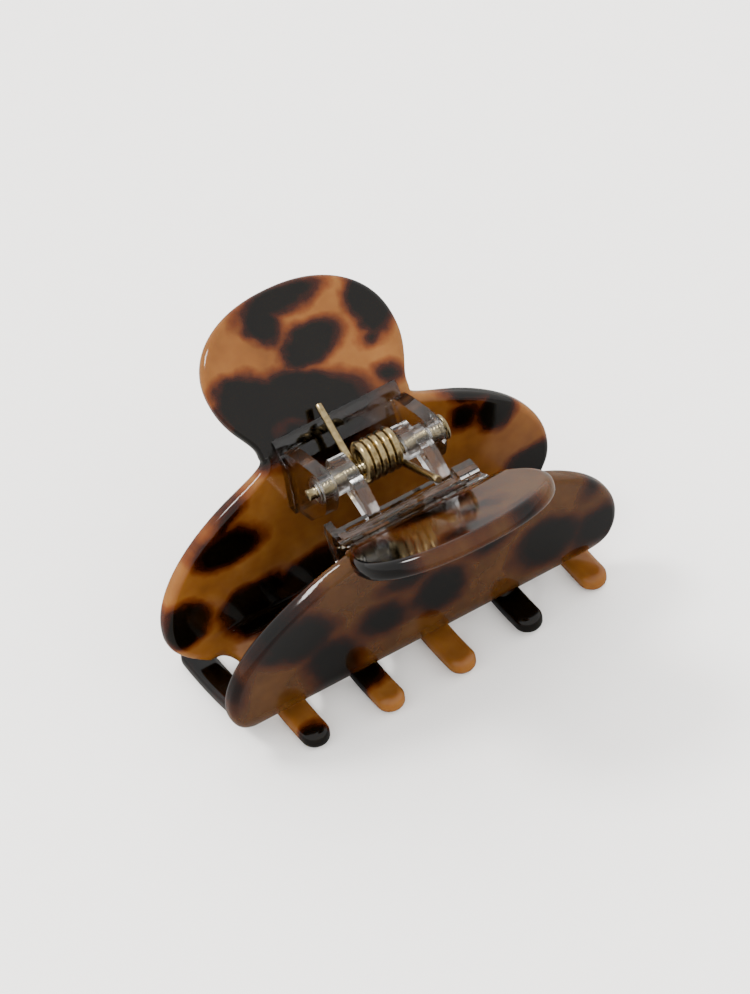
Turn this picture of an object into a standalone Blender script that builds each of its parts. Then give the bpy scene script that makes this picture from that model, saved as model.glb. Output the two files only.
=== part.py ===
"""Hair claw clip: two bent sheet jaws with round handles and five teeth each, joined by a clear
two-part hinge, a headed brass pin and a brass torsion spring.  It stands closed on its teeth.

Millimetres in the values below, metres in the scene.  X runs along the pin, +Y is the back jaw's
side and +Z is up.  The origin is the middle of the footprint, on the surface it stands on.
"""
import math

import bmesh
import bpy
from mathutils import Vector

MM = 0.001

# Sheet that both jaws are cut and bent from
SHEET = 3.4
RIM_ROUND = 1.25          # rounding of every cut edge
RIM_STEPS = 2

# Flat outline: s runs down the sheet, 0 at the neck, negative up the handle
JAW_WIDTH = 80.0
HANDLE_HALF_WIDTH = 18.7
HANDLE_CENTRE = -12.2
HANDLE_REACH = 13.9       # from its centre to its end
HANDLE_POWER = 2.2
NECK_HALF_WIDTH = 15.0
NECK_BLEND = 5.5
WING_WIDEST = 25.5
WING_RISE = 25.3
WING_POWER = 1.9
CORNER_DROP = 14.5
CORNER_POWER = 2.5
ROOT_LINE = 35.2          # top of the arches between the teeth

# Teeth: the same offset on both jaws makes them interleave when one jaw is turned half round
TOOTH_PITCH = 14.9
TOOTH_WIDTH = 5.3
TOOTH_OFFSET = TOOTH_PITCH / 4
TOOTH_ENDS = (61.0, 62.0, 61.9, 60.6, 58.8)

# Bend of the sheet, seen from the end: lean from the vertical, then arcs
NECK_MID = (14.7, -2.6)   # middle of the sheet at s = 0, from the pin
HANDLE_LEAN = 58.0
NECK_ARC = 11.4
BODY_LEAN = 6.0
RIM_START = 29.5
RIM_ARC = 7.5
RIM_TURN = 70.0           # lean at the end of the rim's arc
TOOTH_TURN = 98.0         # lean at TOOTH_ARC_END
TOOTH_ARC_END = 60.0

# Hinge
PIN_RADIUS = 1.1
PIN_ENDS = (-14.4, 12.9)
PIN_HEAD_RADIUS = 2.35
PIN_HEAD_THICK = 0.9
BORE_RADIUS = 1.42
GAP = 0.3                 # between pieces that touch
PLATE_HALF_WIDTH = 12.6
PLATE_THICK = 2.0
PLATE_TOP = 0.1
PLATE_FOOT = -13.0
EAR_SPAN = (9.75, 12.3)
EAR_EDGE = ((0.4, 3.75), (-1.6, 3.2), (-2.6, 2.0), (-2.9, 0.2), (-2.6, -2.2), (-1.9, -4.4),
            (-0.9, -5.8), (0.6, -7.2), (3.4, -10.4))
OUTER_BARREL_SPAN = (9.75, 12.6)
OUTER_BARREL_RADIUS = 2.1
ARM_SPANS = ((-7.3, -4.9), (6.9, 9.4))
INNER_BARREL_SPAN = (4.9, 9.4)
INNER_BARREL_RADIUS = 2.5
LOBE_SPAN = (4.9, 8.0)
LOBE_EDGE = ((-1.2, 2.4), (2.2, 2.5), (3.6, 2.1), (4.3, 0.9), (4.2, -0.8), (3.2, -2.2),
             (1.5, -2.9), (-0.6, -2.7), (-2.0, -1.4))
BAR_ENDS = (-14.9, 13.6)
BAR_LIP = -0.4            # where the bar's outer edge ends, up the neck
BAR_TOP = -2.1
BAR_TOP_OUT = 11.1
BAR_INNER = 7.7
BAR_FOOT = -5.2
BLOCK_SPAN = (9.7, 13.5)  # raised right end of the bar
BLOCK_TOP = -1.2
FLANGE_THICK = 1.6        # thin left end of the bar
FLANGE_REACH = 5.6
FLANGE_TOP = -2.0
FLANGE_FOOT = -9.0

# Spring
WIRE = 0.7
COIL_RADIUS = 3.2
COIL_CENTRE = (0.2, 1.1)  # the pin runs through the coil's lower half
COIL_TURNS = 5
COIL_PITCH = 1.45
COIL_LEFT = -3.6
STEPS_PER_TURN = 14
BACK_LEG_END = (-2.9, 14.2, 3.7)
FRONT_LEG_END = (3.6, -14.2, 4.9)


def clean_start():
    for old in list(bpy.data.objects):
        bpy.data.objects.remove(old, do_unlink=True)


def material(name, colour, roughness, metallic=0.0, transmission=0.0):
    mat = bpy.data.materials.new(name)
    mat.use_nodes = True
    shader = mat.node_tree.nodes["Principled BSDF"]
    shader.inputs["Base Color"].default_value = (*colour, 1.0)
    shader.inputs["Roughness"].default_value = roughness
    shader.inputs["Metallic"].default_value = metallic
    shader.inputs["Transmission Weight"].default_value = transmission
    return mat


def add_object(name, bm, mat, smooth_angle=40.0):
    mesh = bpy.data.meshes.new(name)
    bmesh.ops.recalc_face_normals(bm, faces=bm.faces)
    bm.to_mesh(mesh)
    bm.free()
    obj = bpy.data.objects.new(name, mesh)
    bpy.context.collection.objects.link(obj)
    mesh.shade_smooth()
    mesh.set_sharp_from_angle(angle=math.radians(smooth_angle))
    if mat:
        mesh.materials.append(mat)
    return obj


# The sheet's bend, as stations along s with a place and an outward normal for each

def lean_at(s):
    """Angle of the sheet's downward run from the vertical, negative when it runs inwards."""
    half = NECK_ARC / 2
    knots = ((-half, -HANDLE_LEAN), (half, -BODY_LEAN), (RIM_START, -BODY_LEAN),
             (RIM_START + RIM_ARC, -RIM_TURN), (TOOTH_ARC_END, -TOOTH_TURN))
    if s <= knots[0][0]:
        return knots[0][1]
    for (s0, a0), (s1, a1) in zip(knots, knots[1:]):
        if s <= s1:
            return a0 + (a1 - a0) * (s - s0) / (s1 - s0)
    return knots[-1][1]


def bend_stations():
    """Stations where the sheet is creased: close together in its arcs, none in its flats."""
    def spread(start, end, count):
        return [start + (end - start) * i / count for i in range(count + 1)]

    half = NECK_ARC / 2
    marks = spread(-half, half, 8) + spread(RIM_START, RIM_START + RIM_ARC, 9)
    marks += spread(RIM_START + RIM_ARC, TOOTH_ARC_END, 6)[1:]
    ends = [HANDLE_CENTRE - HANDLE_REACH - 1] + marks + [max(TOOTH_ENDS) + 1]
    return ends


def bent_sheet():
    """For each station: s, y, z and the outward normal, walked in small steps from s = 0."""
    step = 0.05
    rows = {}
    for direction in (1, -1):
        s, y, z = 0.0, *NECK_MID
        wanted = sorted((m for m in bend_stations() if m * direction >= 0), key=abs)
        for mark in wanted:
            while (mark - s) * direction > 1e-9:
                run = min(step, abs(mark - s)) * direction
                lean = math.radians(lean_at(s + run / 2))
                y += math.sin(lean) * run
                z -= math.cos(lean) * run
                s += run
            lean = math.radians(lean_at(mark))
            rows[round(mark, 6)] = (y, z, math.cos(lean), math.sin(lean))
    return sorted((s, *row) for s, row in rows.items())


def bend_point(rows, x, s, out):
    """Place of a flat point (x, s) that stands `out` from the sheet's middle."""
    for low, high in zip(rows, rows[1:]):
        if s <= high[0] or high is rows[-1]:
            t = (s - low[0]) / (high[0] - low[0])
            y, z, ny, nz = (a + (b - a) * t for a, b in zip(low[1:], high[1:]))
            return Vector((x, y + out * ny, z + out * nz))


# The flat outline

def half_width(s):
    """Half width of the sheet at s: a round handle, a neck and a half-moon body, blended."""
    def arch(distance, power):
        return max(0.0, 1.0 - abs(distance) ** power) ** (1 / power)

    handle = HANDLE_HALF_WIDTH * arch((s - HANDLE_CENTRE) / HANDLE_REACH, HANDLE_POWER)
    neck = NECK_HALF_WIDTH * math.sqrt(min(1.0, max(0.0, 1 - s / HANDLE_CENTRE)))
    if s < WING_WIDEST:
        wing = JAW_WIDTH / 2 * arch((WING_WIDEST - s) / WING_RISE, WING_POWER)
    else:
        wing = JAW_WIDTH / 2 * arch((s - WING_WIDEST) / CORNER_DROP, CORNER_POWER)
    total = handle ** NECK_BLEND + neck ** NECK_BLEND + wing ** NECK_BLEND
    return total ** (1 / NECK_BLEND)


def side_stations(last):
    """Stations for the outline's side, even along its length, from the handle's end to `last`."""
    top = HANDLE_CENTRE - HANDLE_REACH
    count = 9
    marks = [HANDLE_CENTRE - HANDLE_REACH * math.cos(math.pi / 2 * i / count) for i in range(1, count + 1)]
    marks += [HANDLE_CENTRE * (1 - i / 6) for i in range(1, 6)]
    marks += [WING_WIDEST - WING_RISE * math.cos(math.pi / 2 * i / 14) for i in range(1, 15)]
    marks += [WING_WIDEST + (last - WING_WIDEST) * i / 4 for i in range(1, 5)]
    return [top] + marks


def corner_station(x):
    """Where the body's side comes in to x below its widest place."""
    share = (1 - (x / (JAW_WIDTH / 2)) ** CORNER_POWER) ** (1 / CORNER_POWER)
    return WING_WIDEST + CORNER_DROP * share


def jaw_outline():
    """The flat outline as (x, s) points in order, once round."""
    centres = [TOOTH_OFFSET + (j - 2) * TOOTH_PITCH for j in range(5)]
    half = TOOTH_WIDTH / 2
    arch = (TOOTH_PITCH - TOOTH_WIDTH) / 2
    right_x = centres[-1] + half
    left_x = -(centres[0] - half)
    right_s = corner_station(right_x)
    corner = 3.2
    left_s = corner_station(left_x + corner + 1.2)

    points = [(0.0, side_stations(0)[0])]
    points += [(half_width(s), s) for s in side_stations(right_s)[1:]]
    for j in range(4, -1, -1):
        tip = TOOTH_ENDS[j] - half
        for i in range(9):
            turn = math.pi * i / 8
            points.append((centres[j] + half * math.cos(turn), tip + half * math.sin(turn)))
        if j:
            middle = centres[j] - TOOTH_PITCH / 2
            for i in range(9):
                turn = math.pi * i / 8
                points.append((middle + arch * math.cos(turn), ROOT_LINE + arch - arch * math.sin(turn)))
    for i in range(1, 5):
        turn = math.pi / 2 * i / 5
        points.append((-left_x - corner * (1 - math.cos(turn)), left_s + corner - corner * math.sin(turn)))
    points += [(-half_width(s), s) for s in reversed(side_stations(left_s)[1:])]
    return points


def make_jaw(name, mat, half_turn):
    bm = bmesh.new()
    ring = [bm.verts.new((x, s, -SHEET / 2)) for x, s in jaw_outline()]
    face = bm.faces.new(ring)
    top = bmesh.ops.extrude_face_region(bm, geom=[face])
    lifted = [v for v in top["geom"] if isinstance(v, bmesh.types.BMVert)]
    bmesh.ops.translate(bm, vec=(0, 0, SHEET), verts=lifted)
    rim = [e for e in bm.edges if abs(e.verts[0].co.z - e.verts[1].co.z) < 1e-6]
    bmesh.ops.bevel(bm, geom=rim, offset=RIM_ROUND, offset_type="OFFSET", segments=RIM_STEPS,
                    profile=0.5, affect="EDGES", clamp_overlap=True)
    for s in bend_stations()[1:-1]:
        bmesh.ops.bisect_plane(bm, geom=bm.verts[:] + bm.edges[:] + bm.faces[:], dist=1e-5,
                               plane_co=(0, s, 0), plane_no=(0, 1, 0))
    rows = bent_sheet()
    for v in bm.verts:
        v.co = bend_point(rows, *v.co)
    if half_turn:
        for v in bm.verts:
            v.co.x, v.co.y = -v.co.x, -v.co.y
    bmesh.ops.remove_doubles(bm, verts=bm.verts, dist=1e-4)
    bmesh.ops.triangulate(bm, faces=bm.faces)
    return add_object(name, bm, mat)


# Hinge pieces, built in millimetres round the pin's axis

def prism(name, outline, low_x, high_x, mat=None):
    """A solid whose outline lies in Y and Z and runs from low_x to high_x."""
    bm = bmesh.new()
    ring = [bm.verts.new((low_x, y, z)) for y, z in outline]
    face = bm.faces.new(ring)
    top = bmesh.ops.extrude_face_region(bm, geom=[face])
    moved = [v for v in top["geom"] if isinstance(v, bmesh.types.BMVert)]
    bmesh.ops.translate(bm, vec=(high_x - low_x, 0, 0), verts=moved)
    return add_object(name, bm, mat, 30.0)


def circle(radius, count, start=0.0, turn=360.0, centre=(0.0, 0.0)):
    closed = abs(turn) >= 360
    steps = count if closed else count - 1
    angles = [math.radians(start + turn * i / steps) for i in range(count)]
    return [(centre[0] + radius * math.cos(a), centre[1] + radius * math.sin(a)) for a in angles]


def combine(base, others, operation):
    """Join or cut with helper solids, which are then hidden from the build."""
    for other in others:
        other.hide_render = True
        other.display_type = "WIRE"
        tool = base.modifiers.new(other.name, "BOOLEAN")
        tool.operation = operation
        tool.solver = "EXACT"
        tool.object = other


def inner_face(rows, top, foot, clearance):
    """Points down the inner side of a jaw, a clearance off it, between two heights."""
    s_top, s_foot = (station_at_height(rows, height, clearance) for height in (top, foot))
    marks = [s_top] + [r[0] for r in rows if s_top < r[0] < s_foot] + [s_foot]
    places = [bend_point(rows, 0.0, s, -SHEET / 2 - clearance) for s in marks]
    return [(p.y, p.z) for p in places]


def station_at_height(rows, height, clearance):
    """Where down the sheet the surface at a clearance from its inner face passes a height."""
    low, high = -12.0, 20.0
    for _ in range(40):
        middle = (low + high) / 2
        if bend_point(rows, 0.0, middle, -SHEET / 2 - clearance).z > height:
            low = middle
        else:
            high = middle
    return low


def mirrored(outline):
    return [(-y, z) for y, z in reversed(outline)]


def make_back_leaf(rows, mat):
    """Plate that follows the back jaw's neck, with two outer ears for the ends of the pin."""
    outer = inner_face(rows, PLATE_TOP, PLATE_FOOT, GAP)
    inner = inner_face(rows, PLATE_TOP, PLATE_FOOT, GAP + PLATE_THICK)
    leaf = prism("back_hinge_leaf", outer + inner[::-1], -PLATE_HALF_WIDTH, PLATE_HALF_WIDTH, mat)
    ear = [(inner[-1][0] + 1.0, PLATE_FOOT + 0.5), (inner[0][0] + 0.9, PLATE_TOP - 0.4), *EAR_EDGE]
    parts = []
    for side in (-1, 1):
        low, high = sorted((side * EAR_SPAN[0], side * EAR_SPAN[1]))
        parts.append(prism("back_ear", ear, low, high))
        low, high = sorted((side * OUTER_BARREL_SPAN[0], side * OUTER_BARREL_SPAN[1]))
        parts.append(prism("back_barrel", circle(OUTER_BARREL_RADIUS, 16), low, high))
    combine(leaf, parts, "UNION")
    bore = prism("back_bore", circle(BORE_RADIUS, 16), -PLATE_HALF_WIDTH - 2, PLATE_HALF_WIDTH + 2)
    combine(leaf, [bore], "DIFFERENCE")
    return leaf


def make_front_leaf(rows, mat):
    """Plate with a thick bar along its top, two arms with lobed eyes, a block and a flange."""
    outer = inner_face(rows, BAR_LIP, PLATE_FOOT, GAP)
    inner = inner_face(rows, BAR_FOOT, PLATE_FOOT, GAP + PLATE_THICK)
    bar = [(BAR_INNER, BAR_FOOT), (BAR_INNER, BAR_TOP), (BAR_TOP_OUT, BAR_TOP)]
    outline = mirrored(outer + inner[::-1] + bar)
    leaf = prism("front_hinge_leaf", outline, *BAR_ENDS, mat)
    arm = [(-0.6, -2.3)] + circle(INNER_BARREL_RADIUS - 0.2, 5, -68, 158)
    arm += [(-1.2, 2.4), (-5.0, 0.6), (-BAR_INNER - 1.0, BAR_TOP - 0.3), (-BAR_INNER - 1.0, BAR_FOOT + 0.3),
            (-BAR_INNER + 0.6, BAR_FOOT + 0.3)]
    block = [(-BAR_INNER - 0.1, BAR_TOP - 0.5), (-BAR_INNER - 0.1, BLOCK_TOP - 0.3),
             (-BAR_INNER - 0.4, BLOCK_TOP), (-BAR_TOP_OUT + 0.5, BLOCK_TOP), (-BAR_TOP_OUT, BLOCK_TOP - 0.5),
             (-BAR_TOP_OUT, BAR_TOP - 0.5)]
    flange = [(-FLANGE_REACH, FLANGE_TOP), (-BAR_INNER - 1.6, BAR_TOP - 0.7), (-BAR_INNER - 1.6, FLANGE_FOOT),
              (-BAR_INNER - 0.6, FLANGE_FOOT), (-FLANGE_REACH, FLANGE_TOP - 2.3)]
    parts = [prism("front_block", block, *BLOCK_SPAN),
             prism("front_flange", flange, BAR_ENDS[0] + 0.1, BAR_ENDS[0] + FLANGE_THICK)]
    for arm_low, arm_high in ARM_SPANS:
        parts.append(prism("front_arm", arm, arm_low, arm_high))
    for side in (-1, 1):
        for title, edge, span in (("front_barrel", circle(INNER_BARREL_RADIUS, 16), INNER_BARREL_SPAN),
                                  ("front_lobe", LOBE_EDGE, LOBE_SPAN)):
            low, high = sorted((side * span[0], side * span[1]))
            parts.append(prism(title, edge, low, high))
    combine(leaf, parts, "UNION")
    bore = prism("front_bore", circle(BORE_RADIUS, 16), -PLATE_HALF_WIDTH - 2, PLATE_HALF_WIDTH + 2)
    combine(leaf, [bore], "DIFFERENCE")
    return leaf


def make_pin(mat):
    """Headed pin, turned about X."""
    low, high = PIN_ENDS
    chamfer = 0.2
    profile = [(low, 0.0), (low, PIN_RADIUS - chamfer), (low + chamfer, PIN_RADIUS), (high, PIN_RADIUS),
               (high, PIN_HEAD_RADIUS - chamfer), (high + chamfer, PIN_HEAD_RADIUS),
               (high + PIN_HEAD_THICK - chamfer, PIN_HEAD_RADIUS),
               (high + PIN_HEAD_THICK, PIN_HEAD_RADIUS - 2 * chamfer), (high + PIN_HEAD_THICK, 0.0)]
    bm = bmesh.new()
    sides = 20
    rings = []
    for x, r in profile:
        if r == 0.0:
            rings.append([bm.verts.new((x, 0, 0))])
        else:
            rings.append([bm.verts.new((x, r * math.cos(a), r * math.sin(a)))
                          for a in (2 * math.pi * i / sides for i in range(sides))])
    for a, b in zip(rings, rings[1:]):
        for i in range(sides):
            j = (i + 1) % sides
            corners = [a[i % len(a)], a[j % len(a)], b[j % len(b)], b[i % len(b)]]
            bm.faces.new(list(dict.fromkeys(corners)))
    return add_object("hinge_pin", bm, mat, 35.0)


def spring_route():
    """Back leg's end, down to the coil, round it, and out along the front leg."""
    def tangent_angle(end):
        across, up = end[1] - COIL_CENTRE[0], end[2] - COIL_CENTRE[1]
        return math.atan2(up, across), math.asin(COIL_RADIUS / math.hypot(across, up))

    back_dir, back_off = tangent_angle(BACK_LEG_END)
    front_dir, front_off = tangent_angle(FRONT_LEG_END)
    start = back_dir + back_off - math.pi / 2
    end = front_dir - front_off + math.pi / 2
    sweep = (start - end) % (2 * math.pi) + 2 * math.pi * COIL_TURNS
    steps = round(sweep / (2 * math.pi) * STEPS_PER_TURN)
    route = [Vector(BACK_LEG_END)]
    for i in range(steps + 1):
        angle = start - sweep * i / steps
        x = COIL_LEFT + COIL_PITCH * sweep / (2 * math.pi) * i / steps
        y, z = (c + COIL_RADIUS * f(angle) for c, f in zip(COIL_CENTRE, (math.cos, math.sin)))
        route.append(Vector((x, y, z)))
    route.append(Vector(FRONT_LEG_END))
    return route


def make_spring(mat):
    """Torsion spring: one round wire along its route."""
    curve = bpy.data.curves.new("spring_wire", "CURVE")
    curve.dimensions = "3D"
    curve.bevel_depth = WIRE
    curve.bevel_resolution = 2
    curve.use_fill_caps = True
    curve.render_resolution_u = 0
    route = spring_route()
    spline = curve.splines.new("POLY")
    spline.points.add(len(route) - 1)
    for point, place in zip(spline.points, route):
        point.co = (*place, 1.0)
    obj = bpy.data.objects.new("spring", curve)
    bpy.context.collection.objects.link(obj)
    curve.materials.append(mat)
    return obj


def stand_on_teeth(jaw):
    """Scale the scene to metres and lift it so that the lowest tooth is at height 0."""
    lowest = min(v.co.z for v in jaw.data.vertices)
    for obj in bpy.data.objects:
        obj.scale = (MM, MM, MM)
        obj.location = (0, 0, -lowest * MM)


def main():
    clean_start()
    back_acetate = material("tortoiseshell_back", (0.35, 0.16, 0.05), 0.12)
    front_acetate = material("tortoiseshell_front", (0.28, 0.13, 0.05), 0.12)
    clear = material("clear_plastic", (0.92, 0.92, 0.9), 0.05, transmission=0.9)
    leaf_clear = material("clear_plastic_front", (0.9, 0.91, 0.9), 0.05, transmission=0.9)
    pin_brass = material("pin_brass", (0.62, 0.53, 0.33), 0.3, metallic=1.0)
    spring_brass = material("spring_brass", (0.65, 0.56, 0.36), 0.28, metallic=1.0)

    rows = bent_sheet()
    back_jaw = make_jaw("back_jaw", back_acetate, half_turn=False)
    make_jaw("front_jaw", front_acetate, half_turn=True)
    make_back_leaf(rows, clear)
    make_front_leaf(rows, leaf_clear)
    make_pin(pin_brass)
    make_spring(spring_brass)
    stand_on_teeth(back_jaw)


main()
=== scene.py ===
"""Hair claw clip: the looks of its jaws, clear hinge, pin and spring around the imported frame.
Sizes are in millimetres, and x runs along the hinge pin.
"""
import math

import bmesh
import bpy
from mathutils import Matrix, Vector


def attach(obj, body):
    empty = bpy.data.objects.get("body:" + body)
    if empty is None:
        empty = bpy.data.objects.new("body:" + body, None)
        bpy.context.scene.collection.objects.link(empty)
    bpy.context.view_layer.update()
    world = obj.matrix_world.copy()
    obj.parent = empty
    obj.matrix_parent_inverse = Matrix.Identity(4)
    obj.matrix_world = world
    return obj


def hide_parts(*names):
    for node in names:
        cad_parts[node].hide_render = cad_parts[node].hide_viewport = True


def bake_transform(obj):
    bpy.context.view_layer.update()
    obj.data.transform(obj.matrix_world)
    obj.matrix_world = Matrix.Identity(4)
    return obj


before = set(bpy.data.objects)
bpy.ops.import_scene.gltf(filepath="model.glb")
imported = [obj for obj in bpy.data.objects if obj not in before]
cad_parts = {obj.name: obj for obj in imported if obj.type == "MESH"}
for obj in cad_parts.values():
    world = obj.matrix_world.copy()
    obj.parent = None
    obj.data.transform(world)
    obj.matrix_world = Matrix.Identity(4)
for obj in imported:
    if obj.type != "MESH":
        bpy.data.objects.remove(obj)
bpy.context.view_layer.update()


# Jaws: each is cut from one sheet of acetate, its rim tumbled round and polished, then bent hot at
# the neck and above the teeth.  The front jaw is the same part as the back one, turned half round.
MM = 0.001
PIN_HEIGHT = 41.7457
SHEET = 3.4
RIM_ROUND = 1.36
JAW_WIDTH = 80.0
HANDLE_HALF_WIDTH, HANDLE_CENTRE, HANDLE_REACH, HANDLE_POWER = 18.7, -12.2, 13.9, 2.2
NECK_HALF_WIDTH, NECK_BLEND = 15.0, 5.5
WING_WIDEST, WING_RISE, WING_POWER = 25.5, 25.3, 1.9
CORNER_DROP, CORNER_POWER = 14.5, 2.5
LEFT_CORNER = 3.2
ROOT_LINE = 35.2
TOOTH_PITCH, TOOTH_WIDTH = 14.9, 5.3
TOOTH_ENDS = (61.0, 62.0, 61.9, 60.6, 58.8)
NECK_MID = (14.7, -2.6)
NECK_ARC, RIM_START, RIM_END, TOOTH_ARC_END = 11.4, 29.5, 37.0, 60.0
HANDLE_LEAN, BODY_LEAN, RIM_LEAN, TOOTH_LEAN = -58.0, -6.0, -70.0, -98.0
LEANS = ((-NECK_ARC / 2, HANDLE_LEAN), (NECK_ARC / 2, BODY_LEAN), (RIM_START, BODY_LEAN),
         (RIM_END, RIM_LEAN), (TOOTH_ARC_END, TOOTH_LEAN))
CORNER_FLAT = 1.2         # between the left corner's fillet and the side
WALK_STEP = 0.05
NECK_CREASES, RIM_CREASES, TOOTH_CREASES = 32, 36, 30
HANDLE_STEPS, NECK_STEPS, WING_STEPS, CORNER_STEPS = 28, 18, 44, 12
TIP_STEPS, ARCH_STEPS, FILLET_STEPS, RIM_STEPS = 20, 24, 10, 6
MAP_SPAN, MAP_MIDDLE = 100.0, (0.5, 0.3)


def deselect_all():
    if bpy.context.object and bpy.context.object.mode != "OBJECT":
        bpy.ops.object.mode_set(mode="OBJECT")
    bpy.ops.object.select_all(action="DESELECT")


def make_active(piece):
    deselect_all()
    piece.select_set(True)
    bpy.context.view_layer.objects.active = piece


def lean_at(s):
    """Angle of the sheet's downward run from the vertical, in degrees, at a distance s down it."""
    if s <= LEANS[0][0]:
        return LEANS[0][1]
    for (s0, a0), (s1, a1) in zip(LEANS, LEANS[1:]):
        if s <= s1:
            return a0 + (a1 - a0) * (s - s0) / (s1 - s0)
    return LEANS[-1][1]


def spread(start, end, count):
    return [start + (end - start) * i / count for i in range(count + 1)]


crease_stations = spread(-NECK_ARC / 2, NECK_ARC / 2, NECK_CREASES)
crease_stations += spread(RIM_START, RIM_END, RIM_CREASES)
crease_stations += spread(RIM_END, TOOTH_ARC_END, TOOTH_CREASES)[1:]


def sheet_middle(stations):
    """For each station: s, y, z and the outward normal, walked in small steps from the neck."""
    rows = {}
    for direction in (1, -1):
        s, y, z = 0.0, *NECK_MID
        for mark in sorted((m for m in stations if m * direction >= 0), key=abs):
            while (mark - s) * direction > 1e-9:
                run = min(WALK_STEP, abs(mark - s)) * direction
                lean = math.radians(lean_at(s + run / 2))
                y, z, s = y + math.sin(lean) * run, z - math.cos(lean) * run, s + run
            lean = math.radians(lean_at(mark))
            rows[round(mark, 6)] = (y, z, math.cos(lean), math.sin(lean))
    return sorted((s, *row) for s, row in rows.items())


sheet_rows = sheet_middle([HANDLE_CENTRE - HANDLE_REACH - 1] + crease_stations + [max(TOOTH_ENDS) + 1])


def on_sheet(x, s, out):
    """Where the flat point (x, s), standing `out` from the sheet's middle, lies from the pin."""
    for low, high in zip(sheet_rows, sheet_rows[1:]):
        if s <= high[0] or high is sheet_rows[-1]:
            t = (s - low[0]) / (high[0] - low[0])
            y, z, ny, nz = (a + (b - a) * t for a, b in zip(low[1:], high[1:]))
            return Vector((x, y + out * ny, z + out * nz))


def half_width(s):
    """Half the outline's width: a round handle, a neck and a half-moon body, blended."""
    def arch(distance, power):
        return max(0.0, 1.0 - abs(distance) ** power) ** (1 / power)

    handle = HANDLE_HALF_WIDTH * arch((s - HANDLE_CENTRE) / HANDLE_REACH, HANDLE_POWER)
    neck = NECK_HALF_WIDTH * math.sqrt(min(1.0, max(0.0, 1 - s / HANDLE_CENTRE)))
    if s < WING_WIDEST:
        wing = JAW_WIDTH / 2 * arch((WING_WIDEST - s) / WING_RISE, WING_POWER)
    else:
        wing = JAW_WIDTH / 2 * arch((s - WING_WIDEST) / CORNER_DROP, CORNER_POWER)
    return (handle ** NECK_BLEND + neck ** NECK_BLEND + wing ** NECK_BLEND) ** (1 / NECK_BLEND)


def side_stations(last):
    """Stations down the outline's side, from the handle's end to `last`."""
    marks = [HANDLE_CENTRE - HANDLE_REACH * math.cos(math.pi / 2 * i / HANDLE_STEPS)
             for i in range(1, HANDLE_STEPS + 1)]
    marks += [HANDLE_CENTRE * (1 - i / NECK_STEPS) for i in range(1, NECK_STEPS)]
    marks += [WING_WIDEST - WING_RISE * math.cos(math.pi / 2 * i / WING_STEPS)
              for i in range(1, WING_STEPS + 1)]
    return [HANDLE_CENTRE - HANDLE_REACH] + marks + spread(WING_WIDEST, last, CORNER_STEPS)[1:]


def corner_station(x):
    """Where the body's lower corner has that half width."""
    return WING_WIDEST + CORNER_DROP * (1 - (x / (JAW_WIDTH / 2)) ** CORNER_POWER) ** (1 / CORNER_POWER)


def jaw_outline():
    """The flat outline, once round: right side, teeth from right to left, left side."""
    centres = [TOOTH_PITCH / 4 + (j - 2) * TOOTH_PITCH for j in range(5)]
    half = TOOTH_WIDTH / 2
    arch = (TOOTH_PITCH - TOOTH_WIDTH) / 2
    left_x = half - centres[0]
    right_s = corner_station(centres[-1] + half)
    left_s = corner_station(left_x + LEFT_CORNER + CORNER_FLAT)
    points = [(0.0, side_stations(0)[0])] + [(half_width(s), s) for s in side_stations(right_s)[1:]]
    for j in range(4, -1, -1):
        for turn in spread(0, math.pi, TIP_STEPS):
            points.append((centres[j] + half * math.cos(turn), TOOTH_ENDS[j] - half + half * math.sin(turn)))
        if j:
            for turn in spread(0, math.pi, ARCH_STEPS):
                points.append((centres[j] - TOOTH_PITCH / 2 + arch * math.cos(turn),
                               ROOT_LINE + arch - arch * math.sin(turn)))
    for turn in spread(0, math.pi / 2, FILLET_STEPS)[1:-1]:
        points.append((-left_x - LEFT_CORNER * (1 - math.cos(turn)),
                       left_s + LEFT_CORNER * (1 - math.sin(turn))))
    return points + [(-half_width(s), s) for s in reversed(side_stations(left_s)[1:])]


def plate_from(name, outline, thickness):
    """A flat plate of that outline in x and y, from z = -thickness / 2 to +thickness / 2."""
    deselect_all()
    bpy.ops.mesh.primitive_circle_add(vertices=len(outline), radius=1, fill_type="NGON")
    plate = bpy.context.object
    plate.name = name
    for vertex, (x, y) in zip(plate.data.vertices, outline):
        vertex.co = (x, y, -thickness / 2)
    bpy.ops.object.mode_set(mode="EDIT")
    bpy.ops.mesh.select_all(action="SELECT")
    bpy.ops.mesh.extrude_region_move(TRANSFORM_OT_translate={"value": (0, 0, thickness)})
    bpy.ops.mesh.select_all(action="SELECT")
    bpy.ops.mesh.normals_make_consistent(inside=False)
    return plate


def bevel_level_edges(plate, width, segments):
    """Rounds the edges that lie level, in edit mode, so that the plate's upright edges stay."""
    mesh = bmesh.from_edit_mesh(plate.data)
    for edge in mesh.edges:
        edge.select_set(False)
    for edge in mesh.edges:
        if abs(edge.verts[0].co.z - edge.verts[1].co.z) < 1e-6:
            edge.select_set(True)
    bmesh.update_edit_mesh(plate.data)
    bpy.ops.mesh.bevel(offset=width, segments=segments, profile=0.5, affect="EDGES", clamp_overlap=False)


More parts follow.
